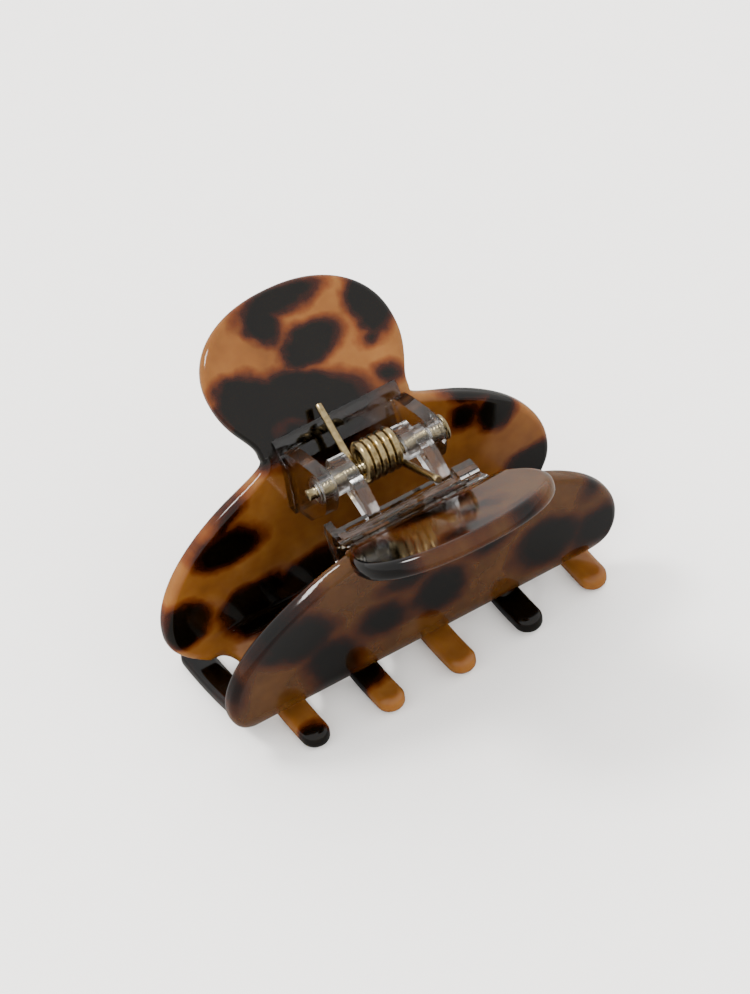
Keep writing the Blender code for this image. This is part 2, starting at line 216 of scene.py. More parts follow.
back_jaw = plate_from("back_jaw_sheet", jaw_outline(), SHEET)
bevel_level_edges(back_jaw, RIM_ROUND, RIM_STEPS)
for station in crease_stations:
    bpy.ops.mesh.select_all(action="SELECT")
    bpy.ops.mesh.bisect(plane_co=(0, station, 0), plane_no=(0, 1, 0), threshold=0.00001)
bpy.ops.object.mode_set(mode="OBJECT")
sheet_map = back_jaw.data.uv_layers[0] if back_jaw.data.uv_layers else back_jaw.data.uv_layers.new()
sheet_map.name = "sheet"
for loop in back_jaw.data.loops:
    x, s, out = back_jaw.data.vertices[loop.vertex_index].co
    sheet_map.data[loop.index].uv = (MAP_MIDDLE[0] + x / MAP_SPAN, MAP_MIDDLE[1] + s / MAP_SPAN)
# The rim mark serves only the painted glow: a brighter amber mixed into the rounded rim's colour in the
# tortoiseshell shader.
rim_mark = back_jaw.data.attributes.new("rim", "FLOAT", "POINT")
for vertex in back_jaw.data.vertices:
    rim_mark.data[vertex.index].value = max(0.0, min(1.0, (SHEET / 2 - abs(vertex.co.z)) / RIM_ROUND))
for vertex in back_jaw.data.vertices:
    vertex.co = (on_sheet(*vertex.co) + Vector((0, 0, PIN_HEIGHT))) * MM
back_jaw.data.shade_smooth()
evened = back_jaw.modifiers.new("even_normals", "WEIGHTED_NORMAL")
evened.weight = 90
bpy.ops.object.modifier_apply(modifier=evened.name)

deselect_all()
front_jaw = back_jaw.copy()
front_jaw.data = back_jaw.data.copy()
front_jaw.name = "front_jaw_sheet"
bpy.context.collection.objects.link(front_jaw)
front_jaw.rotation_euler.z = math.pi
make_active(front_jaw)
bpy.ops.object.transform_apply(location=False, rotation=True, scale=False)

# Tortoiseshell: dark blotches of several sizes that run into honey-coloured acetate through a
# reddish brown, the same on both faces because the sheet is cast from mixed chips.
BLOTCH_COLUMNS = ("x", "s", "half_length", "half_width", "turn")
BACK_BLOTCHES = (
    (-3.8, -20.6, 3.4, 3.6, 0), (1.5, -23.4, 8.0, 2.8, 0), (2.8, -14.2, 6.0, 3.8, 0),
    (-1.8, -12.6, 2.6, 2.2, 0), (15.8, -15.6, 4.2, 5.8, 0), (13.2, -10.4, 1.4, 1.0, 0),
    (-4.0, -6.2, 13.0, 4.4, 17), (-12.5, -8.6, 7.4, 5.4, 28), (-5.0, 0.4, 9.5, 3.4, 10),
    (-15.2, -3.0, 4.0, 4.4, 0), (13.0, -3.4, 2.0, 1.5, 0), (-25.4, 13.0, 6.8, 3.6, 5),
    (-25.0, 7.8, 4.4, 1.0, -38), (-35.6, 25.2, 5.2, 4.4, 0), (-21.6, 29.0, 7.2, 6.2, 0),
    (-11.5, 27.2, 6.6, 3.9, -8), (28.4, 7.6, 9.4, 2.2, 36), (23.4, 10.4, 3.1, 2.6, 10),
    (30.0, 12.8, 3.8, 4.0, 0), (35.8, 28.4, 6.0, 3.6, 0), (8.0, 31.0, 4.6, 2.6, -20),
    (-26.8, 60.8, 3.6, 2.9, 0), (-12.0, 50.8, 4.4, 5.4, 0), (18.0, 55.0, 4.8, 12.0, 0),
)
FRONT_BLOTCHES = (
    (25.8, 14.6, 7.2, 5.8, -30), (19.6, 26.0, 5.4, 7.6, 20), (31.2, 9.4, 9.6, 2.6, 36),
    (39.4, 19.5, 2.0, 4.2, 0), (9.0, 20.8, 5.2, 4.2, -15), (-2.4, 20.6, 5.8, 5.6, 0),
    (4.0, 13.4, 4.0, 2.3, -10), (-25.0, 22.8, 6.6, 6.2, 0), (-35.4, 26.0, 5.2, 5.2, 0),
    (-35.4, 14.2, 2.4, 1.7, 40), (31.0, 15.5, 3.6, 2.6, -30), (-13.0, 15.2, 3.6, 2.0, 0),
    (15.6, -15.6, 5.8, 9.4, 8), (-9.0, -25.0, 2.8, 2.1, 0), (0.0, -6.0, 6.6, 3.0, 12),
    (2.0, -22.6, 4.6, 2.2, 0), (-4.0, -15.0, 3.0, 1.8, 20), (-26.0, 50.0, 4.2, 9.0, 0),
    (3.6, 57.0, 4.0, 6.0, 0), (18.6, 46.0, 4.0, 4.0, 0), (33.6, 50.0, 4.6, 12.0, 0),
)


def new_group(name, inputs, outputs):
    group = bpy.data.node_groups.new(name, "ShaderNodeTree")
    for socket, kind in inputs:
        group.interface.new_socket(socket, in_out="INPUT", socket_type=kind)
    for socket, kind in outputs:
        group.interface.new_socket(socket, in_out="OUTPUT", socket_type=kind)
    return group, group.nodes.new("NodeGroupInput"), group.nodes.new("NodeGroupOutput")


def add_node(tree, kind, values=(), links=(), **settings):
    """A node with its settings, its socket values by name or number, and links into its sockets."""
    node = tree.nodes.new(kind)
    for key, value in settings.items():
        setattr(node, key, value)
    for key, value in dict(values).items():
        node.inputs[key].default_value = value
    for key, source in dict(links).items():
        tree.links.new(source, node.inputs[key])
    return node


def colour_steps(ramp, steps):
    while len(ramp.elements) < len(steps):
        ramp.elements.new(0.5)
    for element, (place, colour) in zip(ramp.elements, steps):
        element.position = place
        element.color = (*colour, 1.0)


def map_range(tree, source, from_span, to_span):
    """A Map Range node that carries the source from one span of values to another."""
    return add_node(tree, "ShaderNodeMapRange", links={0: source},
                    values=dict(enumerate((*from_span, *to_span), start=1)))


blotch_group, taken, given = new_group(
    "acetate_blotch",
    (("Place", "NodeSocketVector"), ("Centre", "NodeSocketVector"), ("Reach", "NodeSocketVector"),
     ("Turn", "NodeSocketFloat")),
    (("Depth", "NodeSocketFloat"),))
away = add_node(blotch_group, "ShaderNodeVectorMath", operation="SUBTRACT",
                links={0: taken.outputs["Place"], 1: taken.outputs["Centre"]})
turned = add_node(blotch_group, "ShaderNodeVectorRotate", rotation_type="Z_AXIS",
                  links={"Vector": away.outputs[0], "Angle": taken.outputs["Turn"]})
shared = add_node(blotch_group, "ShaderNodeVectorMath", operation="DIVIDE",
                  links={0: turned.outputs[0], 1: taken.outputs["Reach"]})
length = add_node(blotch_group, "ShaderNodeVectorMath", operation="LENGTH", links={0: shared.outputs[0]})
depth = add_node(blotch_group, "ShaderNodeMath", operation="SUBTRACT", values={0: 1.0},
                 links={1: length.outputs["Value"]})
reach = add_node(blotch_group, "ShaderNodeSeparateXYZ", links={0: taken.outputs["Reach"]})
narrow = add_node(blotch_group, "ShaderNodeMath", operation="MINIMUM",
                  links={0: reach.outputs["X"], 1: reach.outputs["Y"]})
depth = add_node(blotch_group, "ShaderNodeMath", operation="MULTIPLY",
                 links={0: depth.outputs[0], 1: narrow.outputs[0]})
blotch_group.links.new(depth.outputs[0], given.inputs["Depth"])

shell_group, taken, given = new_group(
    "tortoiseshell",
    (("Place", "NodeSocketVector"), ("Depth", "NodeSocketFloat"), ("Rim", "NodeSocketFloat"),
     ("Tone", "NodeSocketFloat"), ("Rim_painted_glow", "NodeSocketFloat"), ("Edge", "NodeSocketFloat")),
    (("Color", "NodeSocketColor"), ("Roughness", "NodeSocketFloat"), ("Normal", "NodeSocketVector")))
speck = add_node(shell_group, "ShaderNodeTexNoise", values={"Scale": 0.55, "Detail": 3.0, "Roughness": 0.5},
                 links={"Vector": taken.outputs["Place"]})
frayed = add_node(shell_group, "ShaderNodeMath", operation="MULTIPLY_ADD", values={1: 0.9},
                  links={0: speck.outputs["Fac"], 2: taken.outputs["Depth"]})
melted = add_node(shell_group, "ShaderNodeMath", operation="DIVIDE",
                  links={0: frayed.outputs[0], 1: taken.outputs["Edge"]})
shade = map_range(shell_group, melted.outputs[0], (-0.7, 1.15), (0.0, 1.0))
drift = add_node(shell_group, "ShaderNodeTexNoise", values={"Scale": 0.11, "Detail": 3.0, "Roughness": 0.55},
                 links={"Vector": taken.outputs["Place"]})
honey = add_node(shell_group, "ShaderNodeValToRGB", links={"Fac": drift.outputs["Fac"]})
colour_steps(honey.color_ramp, ((0.3, (0.09, 0.031, 0.006)), (0.5, (0.124, 0.0455, 0.009)),
                               (0.7, (0.158, 0.063, 0.014))))
# Painted glow on the rim: where the rim mark is, the honey colour is mixed toward a brighter amber, standing
# in for light through the thin edge.
painted_rim_glow = add_node(shell_group, "ShaderNodeMath", operation="MULTIPLY",
                links={0: taken.outputs["Rim"], 1: taken.outputs["Rim_painted_glow"]})
honey_with_painted_glow = add_node(shell_group, "ShaderNodeMix", data_type="RGBA", values={7: (0.26, 0.115, 0.018, 1.0)},
               links={0: painted_rim_glow.outputs[0], 6: honey.outputs["Color"]})
tint = add_node(shell_group, "ShaderNodeValToRGB", links={"Fac": shade.outputs[0]})
colour_steps(tint.color_ramp, ((0.0, (1.0, 1.0, 1.0)), (0.3, (0.62, 0.4, 0.3)), (0.62, (0.13, 0.05, 0.04)),
                               (0.95, (0.01, 0.015, 0.013))))
body = add_node(shell_group, "ShaderNodeMix", data_type="RGBA", blend_type="MULTIPLY", values={0: 1.0},
                links={6: honey_with_painted_glow.outputs[2], 7: tint.outputs["Color"]})
body = add_node(shell_group, "ShaderNodeVectorMath", operation="SCALE",
                links={0: body.outputs[2], "Scale": taken.outputs["Tone"]})
haze = add_node(shell_group, "ShaderNodeTexNoise", values={"Scale": 0.35, "Detail": 5.0},
                links={"Vector": taken.outputs["Place"]})
polish = map_range(shell_group, haze.outputs["Fac"], (0.0, 1.0), (0.07, 0.12))
ripple = add_node(shell_group, "ShaderNodeTexNoise", values={"Scale": 0.16, "Detail": 2.0},
                  links={"Vector": taken.outputs["Place"]})
bump = add_node(shell_group, "ShaderNodeBump", values={"Strength": 0.08, "Distance": 0.0004},
                links={"Height": ripple.outputs["Fac"]})
for socket, node in (("Color", body), ("Roughness", polish), ("Normal", bump)):
    shell_group.links.new(node.outputs[0], given.inputs[socket])


def tortoiseshell(name, blotches, seed, tone, painted_rim_glow, edge):
    """Acetate with these blotches. Tone dims it, the glow value paints a brighter amber into its rim as
    painted light, and edge widens their fading.
    """
    material = bpy.data.materials.new(name)
    material.use_nodes = True
    tree = material.node_tree
    surface = tree.nodes["Principled BSDF"]
    sheet = add_node(tree, "ShaderNodeUVMap", uv_map="sheet")
    place = add_node(tree, "ShaderNodeMapping", links={"Vector": sheet.outputs["UV"]},
                     values={"Location": (-MAP_MIDDLE[0] * MAP_SPAN, -MAP_MIDDLE[1] * MAP_SPAN, seed),
                             "Scale": (MAP_SPAN, MAP_SPAN, 1.0)})
    stir = add_node(tree, "ShaderNodeTexNoise", values={"Scale": 0.14, "Detail": 2.5, "Roughness": 0.5},
                    links={"Vector": place.outputs[0]})
    level = add_node(tree, "ShaderNodeVectorMath", operation="SUBTRACT", values={1: (0.5, 0.5, 0.5)},
                     links={0: stir.outputs["Color"]})
    push = add_node(tree, "ShaderNodeVectorMath", operation="MULTIPLY", values={1: (5.0, 4.0, 0.0)},
                    links={0: level.outputs[0]})
    stirred = add_node(tree, "ShaderNodeVectorMath", operation="ADD",
                       links={0: place.outputs[0], 1: push.outputs[0]})
    flat = add_node(tree, "ShaderNodeVectorMath", operation="MULTIPLY", values={1: (1.0, 1.0, 0.0)},
                    links={0: stirred.outputs[0]})
    deepest = None
    for row in blotches:
        blotch = dict(zip(BLOTCH_COLUMNS, row))
        node = tree.nodes.new("ShaderNodeGroup")
        node.node_tree = blotch_group
        tree.links.new(flat.outputs[0], node.inputs["Place"])
        node.inputs["Centre"].default_value = (blotch["x"], blotch["s"], 0.0)
        node.inputs["Reach"].default_value = (blotch["half_length"], blotch["half_width"], 1.0)
        node.inputs["Turn"].default_value = -math.radians(blotch["turn"])
        if deepest is None:
            deepest = node
        else:
            deepest = add_node(tree, "ShaderNodeMath", operation="SMOOTH_MAX", values={2: 1.0},
                               links={0: deepest.outputs[0], 1: node.outputs[0]})
    shell = tree.nodes.new("ShaderNodeGroup")
    shell.node_tree = shell_group
    rim = add_node(tree, "ShaderNodeAttribute", attribute_name="rim")
    tree.links.new(place.outputs[0], shell.inputs["Place"])
    tree.links.new(deepest.outputs[0], shell.inputs["Depth"])
    tree.links.new(rim.outputs["Fac"], shell.inputs["Rim"])
    shell.inputs["Tone"].default_value = tone
    shell.inputs["Rim_painted_glow"].default_value = painted_rim_glow
    shell.inputs["Edge"].default_value = edge
    for socket, target in (("Color", "Base Color"), ("Roughness", "Roughness"), ("Normal", "Normal")):
        tree.links.new(shell.outputs[socket], surface.inputs[target])
    surface.inputs["IOR"].default_value = 1.49
    surface.inputs["Specular IOR Level"].default_value = 0.35
    surface.inputs["Subsurface Weight"].default_value = 0.25
    surface.inputs["Subsurface Radius"].default_value = (1.0, 0.4, 0.1)
    surface.inputs["Subsurface Scale"].default_value = 0.0018
    return material


# Both jaws are the same acetate part. The front copy's tone of 0.3, against 1.08 at the back, is painted
# shade that darkens its whole colour.
back_jaw.data.materials.clear()
back_jaw.data.materials.append(tortoiseshell("tortoiseshell_acetate_back", BACK_BLOTCHES,
                                             seed=3.0, tone=1.08, painted_rim_glow=0.15, edge=1.35))
front_jaw.data.materials.clear()
front_jaw.data.materials.append(tortoiseshell("tortoiseshell_acetate_front", FRONT_BLOTCHES,
                                              seed=11.0, tone=0.3, painted_rim_glow=0.15, edge=2.3))
for jaw, node, slot, body_name in ((back_jaw, "back_jaw", "tortoiseshell", "back"),
                                   (front_jaw, "front_jaw", "tortoiseshell_front", "front")):
    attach(jaw, body_name)
    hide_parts(node)


# Hinge leaves: two clear plastic mouldings, each with a plate bonded to the inside of a neck.  The
# back one carries the outer ears, and the front one has a thick bar with two arms between them.
SEAT_GAP = -0.05          # the plates are bonded, a little into the acetate
LIP_THICK, LIP_REACH, LIP_SLOPE = 0.7, 2.0, 1.2
PLATE_THICK = 2.0
PLATE_HALF_WIDTH, PLATE_TOP, PLATE_FOOT = 12.6, 0.1, -13.0
EAR_SPAN, OUTER_BARREL_SPAN, OUTER_BARREL_RADIUS = (9.75, 12.3), (9.75, 12.6), 2.1
EAR_EDGE = ((0.4, 3.7), (-1.6, 3.15), (-2.55, 2.0), (-2.85, 0.2), (-2.6, -2.2), (-1.9, -4.4),
            (-0.9, -5.8), (0.6, -7.2), (3.4, -10.4))
ARM_SPANS, INNER_BARREL_SPAN, INNER_BARREL_RADIUS = ((-7.3, -4.9), (6.9, 9.4)), (4.9, 9.4), 2.5
LOBE_SPAN = (4.9, 8.0)
LOBE_EDGE = ((-1.2, 2.4), (2.2, 2.5), (3.6, 2.1), (4.3, 0.9), (4.2, -0.8), (3.2, -2.2), (1.5, -2.9),
             (-0.6, -2.7), (-2.0, -1.4))
BORE_RADIUS = 1.25
BAR_ENDS, BAR_LIP, BAR_TOP, BAR_TOP_OUT, BAR_INNER, BAR_FOOT = (-14.9, 13.6), -0.4, -2.1, 11.1, 7.7, -5.2
BLOCK_SPAN, BLOCK_TOP = (9.7, 13.5), -1.2
FLANGE_THICK, FLANGE_REACH, FLANGE_TOP, FLANGE_FOOT = 1.6, 5.6, -2.0, -9.0
CHANNEL_DEPTH = 0.55
EDGE_ROUND, CORNER_EASE = 0.22, 0.42
BORE_CUT = 16.0           # half length of the cut, past both ends
BARREL_FROST, FROST_SPAN = 0.28, (2.4, 3.1)  # roughness added at the pin, and where it fades


def neck_face(top, foot, clearance):
    """Points down the inner side of the back jaw, a clearance off it, between two heights."""
    def station(height):
        low, high = -12.0, 20.0
        for _ in range(40):
            middle = (low + high) / 2
            if on_sheet(0.0, middle, -SHEET / 2 - clearance).z > height:
                low = middle
            else:
                high = middle
        return low

    places = [on_sheet(0.0, s, -SHEET / 2 - clearance) for s in spread(station(top), station(foot), 20)]
    return [(place.y, place.z) for place in places]


def circle(radius, count, start=0.0, turn=360.0, centre=(0.0, 0.0)):
    steps = count if abs(turn) >= 360 else count - 1
    angles = [math.radians(start + turn * i / steps) for i in range(count)]
    return [(centre[0] + radius * math.cos(a), centre[1] + radius * math.sin(a)) for a in angles]


def moulding(name, outline, low_x, high_x):
    """A bar of that outline in y and z, lying along x between two places, in the row frame."""
    bar = plate_from(name, outline, high_x - low_x)
    bpy.ops.object.mode_set(mode="OBJECT")
    for vertex in bar.data.vertices:
        y, z, x = vertex.co
        vertex.co = Vector((x + (low_x + high_x) / 2, y, z + PIN_HEIGHT)) * MM
    return bar


def join_by(base, others, operation):
    make_active(base)
    for other in others:
        tool = base.modifiers.new(other.name, "BOOLEAN")
        tool.operation, tool.solver, tool.object = operation, "EXACT", other
        bpy.ops.object.modifier_apply(modifier=tool.name)
    for other in others:
        bpy.data.objects.remove(other, do_unlink=True)


def both_sides(name, outline, span):
    return [moulding(name, outline, *sorted((side * span[0], side * span[1]))) for side in (-1, 1)]


def soften(piece, width):
    """Rounds a moulding's edges and evens its normals."""
    make_active(piece)
    rounded = piece.modifiers.new("moulded_edges", "BEVEL")
    rounded.width, rounded.segments, rounded.limit_method = width * MM, 3, "ANGLE"
    rounded.angle_limit = math.radians(32)
    bpy.ops.object.modifier_apply(modifier=rounded.name)
    piece.data.shade_smooth()
    piece.data.set_sharp_from_angle(angle=math.radians(42))
    evened = piece.modifiers.new("even_normals", "WEIGHTED_NORMAL")
    evened.keep_sharp = True
    bpy.ops.object.modifier_apply(modifier=evened.name)


def mirrored(outline):
    return [(-y, z) for y, z in reversed(outline)]


def eased(points, closed=True):
    """The same outline with each of its corners turned into a short curve."""
    curve = []
    for i, here in enumerate(points):
        if not closed and i in (0, len(points) - 1):
            curve.append(here)
            continue
        before, after = points[i - 1], points[(i + 1) % len(points)]
        start, end = ([h + CORNER_EASE * (o - h) for h, o in zip(here, other)] for other in (before, after))
        for t in (0.0, 0.25, 0.5, 0.75, 1.0):
            curve.append(tuple((1 - t) ** 2 * a + 2 * t * (1 - t) * h + t * t * b
                               for a, h, b in zip(start, here, end)))
    return curve


outer = neck_face(PLATE_TOP, PLATE_FOOT, SEAT_GAP)
lip = neck_face(PLATE_TOP, PLATE_TOP - LIP_REACH, SEAT_GAP + LIP_THICK)
inner = neck_face(PLATE_TOP - LIP_REACH - LIP_SLOPE, PLATE_FOOT, SEAT_GAP + PLATE_THICK)
back_leaf = moulding("back_leaf_clear", outer + inner[::-1] + lip[::-1], -PLATE_HALF_WIDTH, PLATE_HALF_WIDTH)
ear = eased([(inner[-1][0] + 1.0, PLATE_FOOT + 0.5), (lip[0][0] + 0.3, PLATE_TOP - 0.3), *EAR_EDGE],
            closed=False)
join_by(back_leaf, both_sides("back_ear", ear, EAR_SPAN) +
        both_sides("back_barrel", circle(OUTER_BARREL_RADIUS, 48), OUTER_BARREL_SPAN), "UNION")
join_by(back_leaf, [moulding("back_bore", circle(BORE_RADIUS, 40), -BORE_CUT, BORE_CUT)], "DIFFERENCE")
soften(back_leaf, EDGE_ROUND)

outer = neck_face(BAR_LIP, PLATE_FOOT, SEAT_GAP)
inner = neck_face(BAR_FOOT, PLATE_FOOT, SEAT_GAP + PLATE_THICK)
bar = [(BAR_INNER, BAR_FOOT), (BAR_INNER, BAR_TOP), (BAR_TOP_OUT, BAR_TOP)]
front_leaf = moulding("front_leaf_clear", mirrored(outer + inner[::-1] + bar), *BAR_ENDS)
arm = [(-0.6, -2.3)] + circle(INNER_BARREL_RADIUS - 0.2, 12, -68, 158)
arm += [(-1.2, 2.4), (-5.0, 0.6), (-BAR_INNER - 1.0, BAR_TOP - 0.3), (-BAR_INNER - 1.0, BAR_FOOT + 0.3),
        (-BAR_INNER + 0.6, BAR_FOOT + 0.3)]
block = [(-BAR_INNER - 0.1, BAR_TOP - 0.5), (-BAR_INNER - 0.1, BLOCK_TOP - 0.3),
         (-BAR_INNER - 0.4, BLOCK_TOP), (-BAR_TOP_OUT + 0.5, BLOCK_TOP),
         (-BAR_TOP_OUT, BLOCK_TOP - 0.5), (-BAR_TOP_OUT, BAR_TOP - 0.5)]
flange = [(-FLANGE_REACH, FLANGE_TOP), (-BAR_INNER - 1.6, BAR_TOP - 0.7), (-BAR_INNER - 1.6, FLANGE_FOOT),
          (-BAR_INNER - 0.6, FLANGE_FOOT), (-FLANGE_REACH, FLANGE_TOP - 2.3)]
join_by(front_leaf, [moulding("front_arm", arm, *span) for span in ARM_SPANS] +
        [moulding("front_block", block, *BLOCK_SPAN),
         moulding("front_flange", flange, BAR_ENDS[0] + 0.1, BAR_ENDS[0] + FLANGE_THICK)] +
        both_sides("front_barrel", circle(INNER_BARREL_RADIUS, 48), INNER_BARREL_SPAN) +
        both_sides("front_lobe", eased(LOBE_EDGE), LOBE_SPAN), "UNION")
channel = [(-BAR_INNER - 1.9, BAR_TOP - CHANNEL_DEPTH), (-BAR_INNER - 1.0, BAR_TOP - CHANNEL_DEPTH),
           (-BAR_INNER - 0.8, BAR_TOP + 0.3), (-BAR_INNER - 2.1, BAR_TOP + 0.3)]
join_by(front_leaf, [moulding("front_bore", circle(BORE_RADIUS, 40), -BORE_CUT, BORE_CUT),
                     moulding("front_channel", channel, BAR_ENDS[0] + 2.6, BLOCK_SPAN[0] - 0.6)],
        "DIFFERENCE")
soften(front_leaf, EDGE_ROUND)

clear = bpy.data.materials.new("clear_plastic")
clear.use_nodes = True
surface = clear.node_tree.nodes["Principled BSDF"]
surface.inputs["Base Color"].default_value = (0.99, 0.985, 0.975, 1.0)
surface.inputs["Transmission Weight"].default_value = 1.0
surface.inputs["IOR"].default_value = 1.5
at = add_node(clear.node_tree, "ShaderNodeTexCoord")
swirl = add_node(clear.node_tree, "ShaderNodeTexNoise", values={"Scale": 420.0, "Detail": 3.0},
                 links={"Vector": at.outputs["Object"]})
gloss = map_range(clear.node_tree, swirl.outputs["Fac"], (0.0, 1.0), (0.02, 0.07))
flow = add_node(clear.node_tree, "ShaderNodeBump", values={"Strength": 0.05, "Distance": 0.0003},
                links={"Height": swirl.outputs["Fac"]})
from_pin = add_node(clear.node_tree, "ShaderNodeVectorMath", operation="MULTIPLY_ADD",
                    values={1: (0.0, 1.0, 1.0), 2: (0.0, 0.0, -PIN_HEIGHT * MM)},
                    links={0: at.outputs["Object"]})
from_pin = add_node(clear.node_tree, "ShaderNodeVectorMath", operation="LENGTH",
                    links={0: from_pin.outputs[0]})
frost = map_range(clear.node_tree, from_pin.outputs["Value"], [far * MM for far in FROST_SPAN],
                  (BARREL_FROST, 0.0))
worn = add_node(clear.node_tree, "ShaderNodeMath", operation="ADD",
                links={0: gloss.outputs[0], 1: frost.outputs[0]})
clear.node_tree.links.new(worn.outputs[0], surface.inputs["Roughness"])
clear.node_tree.links.new(flow.outputs[0], surface.inputs["Normal"])
for leaf, node, slot, body_name in ((back_leaf, "back_hinge_leaf", "clear_plastic", "back"),
                                    (front_leaf, "front_hinge_leaf", "clear_plastic_front", "front")):
    leaf.data.materials.clear()
    leaf.data.materials.append(clear)
    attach(leaf, body_name)
    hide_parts(node)


# Pin: a turned brass pin, pushed through the ears and barrels, with fine rings along its shank and a
# low domed head on the right.  Its brass is mottled with tarnish.
PIN_RADIUS, PIN_HEAD_RADIUS = 1.1, 2.35
PIN_START_RADIUS = PIN_RADIUS - 0.3
PIN_LEFT, PIN_SHOULDER, PIN_END = -14.4, 12.9, 13.8
KNURL_SPAN, KNURL_STEP, KNURL_DEPTH = (-13.2, 12.3), 0.62, 0.15
profile = [(PIN_LEFT + 0.12, PIN_RADIUS - 0.12), (PIN_LEFT + 0.2, PIN_RADIUS - 0.03),
           (PIN_LEFT + 0.3, PIN_RADIUS)]
x = KNURL_SPAN[0]
while x < KNURL_SPAN[1]:
    profile += [(x, PIN_RADIUS - KNURL_DEPTH), (x + KNURL_STEP / 2, PIN_RADIUS)]
    x += KNURL_STEP
profile += [(PIN_SHOULDER - 0.05, PIN_RADIUS), (PIN_SHOULDER, PIN_HEAD_RADIUS - 0.25),
            (PIN_SHOULDER + 0.08, PIN_HEAD_RADIUS - 0.06), (PIN_SHOULDER + 0.25, PIN_HEAD_RADIUS),
            (PIN_SHOULDER + 0.45, PIN_HEAD_RADIUS), (PIN_SHOULDER + 0.65, PIN_HEAD_RADIUS - 0.12),
            (PIN_SHOULDER + 0.8, PIN_HEAD_RADIUS - 0.45), (PIN_END, PIN_HEAD_RADIUS - 1.1)]
deselect_all()
bpy.ops.mesh.primitive_circle_add(vertices=64, radius=PIN_START_RADIUS, fill_type="NGON",
                                  location=(PIN_LEFT, 0, 0), rotation=(0, math.pi / 2, 0))
pin = bpy.context.object
pin.name = "pin_brass_turned"
bpy.ops.object.transform_apply(location=True, rotation=True, scale=True)
bpy.ops.object.mode_set(mode="EDIT")
bpy.ops.mesh.select_all(action="SELECT")
x_was, radius_was = PIN_LEFT, PIN_START_RADIUS
for x, radius in profile:
    bpy.ops.mesh.extrude_region_move(TRANSFORM_OT_translate={"value": (x - x_was, 0, 0)})
    ratio = radius / radius_was
    bpy.ops.transform.resize(value=(1, ratio, ratio), center_override=(x, 0, 0))
    x_was, radius_was = x, radius
bpy.ops.mesh.select_all(action="SELECT")
bpy.ops.mesh.normals_make_consistent(inside=False)
bpy.ops.object.mode_set(mode="OBJECT")
for vertex in pin.data.vertices:
    vertex.co = (vertex.co + Vector((0, 0, PIN_HEIGHT))) * MM
pin.data.shade_smooth()
pin.data.set_sharp_from_angle(angle=math.radians(50))


def brass(name, colour, dull, roughness):
    material = bpy.data.materials.new(name)
    material.use_nodes = True
    tree = material.node_tree
    surface = tree.nodes["Principled BSDF"]
    at = add_node(tree, "ShaderNodeTexCoord")
    tarnish = add_node(tree, "ShaderNodeTexNoise", values={"Scale": 900.0, "Detail": 6.0, "Roughness": 0.65},
                       links={"Vector": at.outputs["Object"]})
    tone = add_node(tree, "ShaderNodeValToRGB", links={"Fac": tarnish.outputs["Fac"]})
    colour_steps(tone.color_ramp, ((0.35, dull), (0.6, colour)))
    wear = map_range(tree, tarnish.outputs["Fac"], (0.0, 1.0), (roughness + 0.12, roughness - 0.06))
    draw = add_node(tree, "ShaderNodeBump", values={"Strength": 0.12, "Distance": 0.00005},
                    links={"Height": tarnish.outputs["Fac"]})
    tree.links.new(tone.outputs["Color"], surface.inputs["Base Color"])
    tree.links.new(wear.outputs[0], surface.inputs["Roughness"])
    tree.links.new(draw.outputs[0], surface.inputs["Normal"])
    surface.inputs["Metallic"].default_value = 1.0
    return material


pin.data.materials.append(brass("pin_aged_brass", (0.44, 0.37, 0.22), (0.22, 0.17, 0.085), 0.22))
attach(pin, "back")
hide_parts("hinge_pin")


# Spring: one brass wire, wound in five close turns round the pin, with a straight leg up each neck.
# The coil rides high, so that the pin runs through its lower half.
WIRE, COIL_RADIUS, COIL_TURNS, COIL_PITCH, COIL_LEFT = 0.7, 3.2, 5, 1.45, -3.6
COIL_CENTRE = (0.2, 1.1)
BACK_LEG_END, FRONT_LEG_END = (-2.9, 14.2, 3.7), (3.6, -14.2, 4.9)
CUT = 0.15                # length over which the wire's cut ends are eased


def leg_angles(end):
    """Direction of a leg's end from the coil's middle, and how far its tangent point turns from that."""
    across, up = end[1] - COIL_CENTRE[0], end[2] - COIL_CENTRE[1]
    return math.atan2(up, across), math.asin(COIL_RADIUS / math.hypot(across, up))


(back_turn, back_off), (front_turn, front_off) = leg_angles(BACK_LEG_END), leg_angles(FRONT_LEG_END)
first = back_turn + back_off - math.pi / 2
last = front_turn - front_off + math.pi / 2
sweep = (first - last) % math.tau + math.tau * COIL_TURNS
coil = []
for turned_by in spread(0, sweep, 64 * COIL_TURNS):
    coil.append(Vector((COIL_LEFT + COIL_PITCH * turned_by / math.tau,
                        COIL_CENTRE[0] + COIL_RADIUS * math.cos(first - turned_by),
                        COIL_CENTRE[1] + COIL_RADIUS * math.sin(first - turned_by))))


def leg(end, start):
    end, start = Vector(end), Vector(start)
    along = (start - end).normalized()
    return [(end, 0.8), (end + along * CUT * 0.5, 0.95), (end + along * CUT, 1.0)] + \
           [(end.lerp(start, t), 1.0) for t in (0.1, 0.3, 0.5, 0.7, 0.9)]


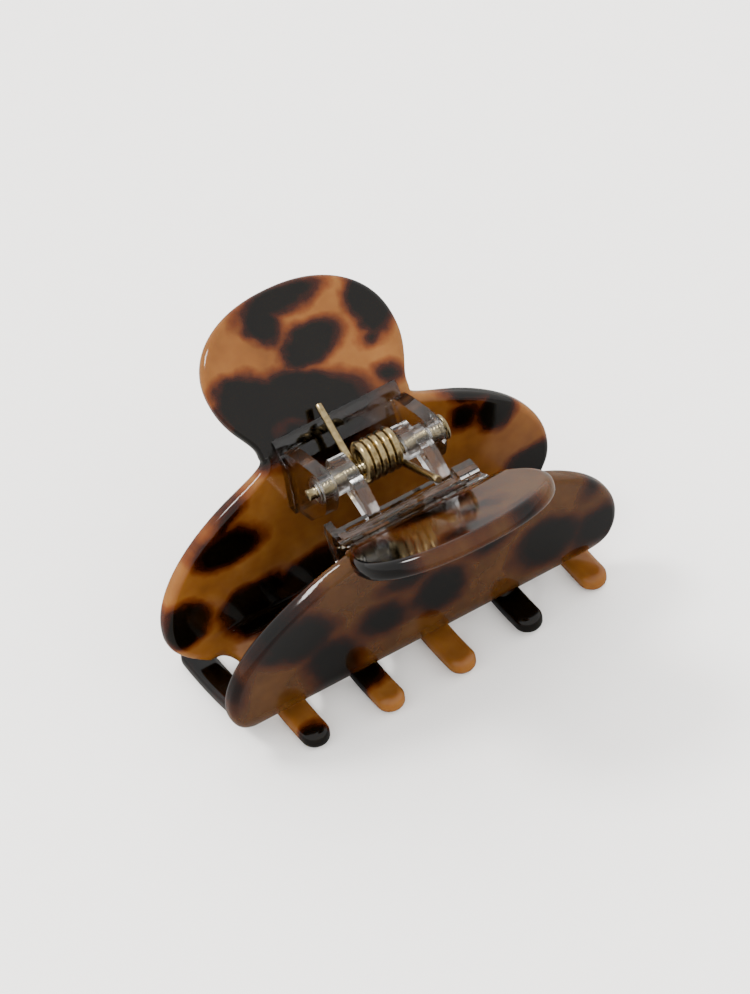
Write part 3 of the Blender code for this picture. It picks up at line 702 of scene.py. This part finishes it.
route = leg(BACK_LEG_END, coil[0]) + [(place, 1.0) for place in coil] + leg(FRONT_LEG_END, coil[-1])[::-1]
wire_line = bpy.data.curves.new("spring_wire_line", "CURVE")
wire_line.dimensions = "3D"
wire_line.bevel_depth = WIRE * MM
wire_line.bevel_resolution = 6
wire_line.use_fill_caps = True
spline = wire_line.splines.new("POLY")
spline.points.add(len(route) - 1)
for point, (place, share) in zip(spline.points, route):
    point.co = (*((place + Vector((0, 0, PIN_HEIGHT))) * MM), 1.0)
    point.radius = share
spring = bpy.data.objects.new("spring_wire", wire_line)
bpy.context.collection.objects.link(spring)
make_active(spring)
bpy.ops.object.convert(target="MESH")
spring = bpy.context.object
spring.data.shade_smooth()
spring.data.set_sharp_from_angle(angle=math.radians(45))
spring.data.materials.clear()
spring.data.materials.append(brass("spring_pale_brass", (0.46, 0.36, 0.19), (0.26, 0.19, 0.085), 0.2))
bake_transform(spring)
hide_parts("spring")


# Studio: a pale warm grey table in a bright even room, with one soft key light and a long lens.
# Shiny surfaces mirror the table and the room darker than they are, as with flags on a real set.
TABLE_IN_GLOSS = 0.2
deselect_all()
bpy.ops.mesh.primitive_plane_add(size=6.0, location=(0, 0, 0))
table = bpy.context.object
table.name = "studio_table"
paper = bpy.data.materials.new("studio_paper")
paper.use_nodes = True
surface = paper.node_tree.nodes["Principled BSDF"]
surface.inputs["Roughness"].default_value = 0.6
surface.inputs["Specular IOR Level"].default_value = 0.3
at = add_node(paper.node_tree, "ShaderNodeTexCoord")
grain = add_node(paper.node_tree, "ShaderNodeTexNoise", values={"Scale": 160.0, "Detail": 3.0},
                 links={"Vector": at.outputs["Object"]})
tone = add_node(paper.node_tree, "ShaderNodeValToRGB", links={"Fac": grain.outputs["Fac"]})
colour_steps(tone.color_ramp, ((0.3, (0.9, 0.885, 0.865)), (0.7, (0.91, 0.895, 0.875))))
rays = add_node(paper.node_tree, "ShaderNodeLightPath")
seen = add_node(paper.node_tree, "ShaderNodeMath", operation="MULTIPLY_ADD",
                values={1: TABLE_IN_GLOSS - 1.0, 2: 1.0}, links={0: rays.outputs["Is Glossy Ray"]})
seen = add_node(paper.node_tree, "ShaderNodeVectorMath", operation="SCALE",
                links={0: tone.outputs["Color"], "Scale": seen.outputs[0]})
paper.node_tree.links.new(seen.outputs[0], surface.inputs["Base Color"])
table.data.materials.append(paper)

ROOM_LIGHT, ROOM_IN_GLOSS = 3.17, 1.2
world = bpy.data.worlds.new("studio_room")
bpy.context.scene.world = world
world.use_nodes = True
world.node_tree.nodes["Background"].inputs["Color"].default_value = (1.0, 0.99, 0.975, 1.0)
rays = add_node(world.node_tree, "ShaderNodeLightPath")
room = add_node(world.node_tree, "ShaderNodeMath", operation="MULTIPLY_ADD",
                values={1: ROOM_IN_GLOSS - ROOM_LIGHT, 2: ROOM_LIGHT},
                links={0: rays.outputs["Is Glossy Ray"]})
world.node_tree.links.new(room.outputs[0], world.node_tree.nodes["Background"].inputs["Strength"])

bpy.ops.object.light_add(type="SUN", rotation=(math.radians(-22), math.radians(-26), 0))
key = bpy.context.object
key.name = "studio_key"
key.data.energy = 2.4
key.data.angle = math.radians(16)
key.data.color = (1.0, 0.985, 0.96)

CAMERA_AZIMUTH, CAMERA_ELEVATION, CAMERA_ROLL = -28.04, 46.47, -6.16
CAMERA_DISTANCE, CAMERA_LENS = 896.4, 189.27
PIN_RIGHT_OF_CENTRE, PIN_ABOVE_CENTRE = 0.497, 6.336
turn = (Matrix.Rotation(math.radians(CAMERA_AZIMUTH), 3, "Z") @
        Matrix.Rotation(math.radians(90 - CAMERA_ELEVATION), 3, "X") @
        Matrix.Rotation(math.radians(CAMERA_ROLL), 3, "Z"))
stand = turn @ Vector((-PIN_RIGHT_OF_CENTRE, -PIN_ABOVE_CENTRE, CAMERA_DISTANCE)) + Vector((0, 0, PIN_HEIGHT))
bpy.ops.object.camera_add(location=stand * MM, rotation=turn.to_euler())
camera = bpy.context.object
camera.name = "photo_camera"
camera.data.lens = CAMERA_LENS
camera.data.clip_start = 0.05
camera.data.clip_end = 20.0
bpy.context.scene.camera = camera
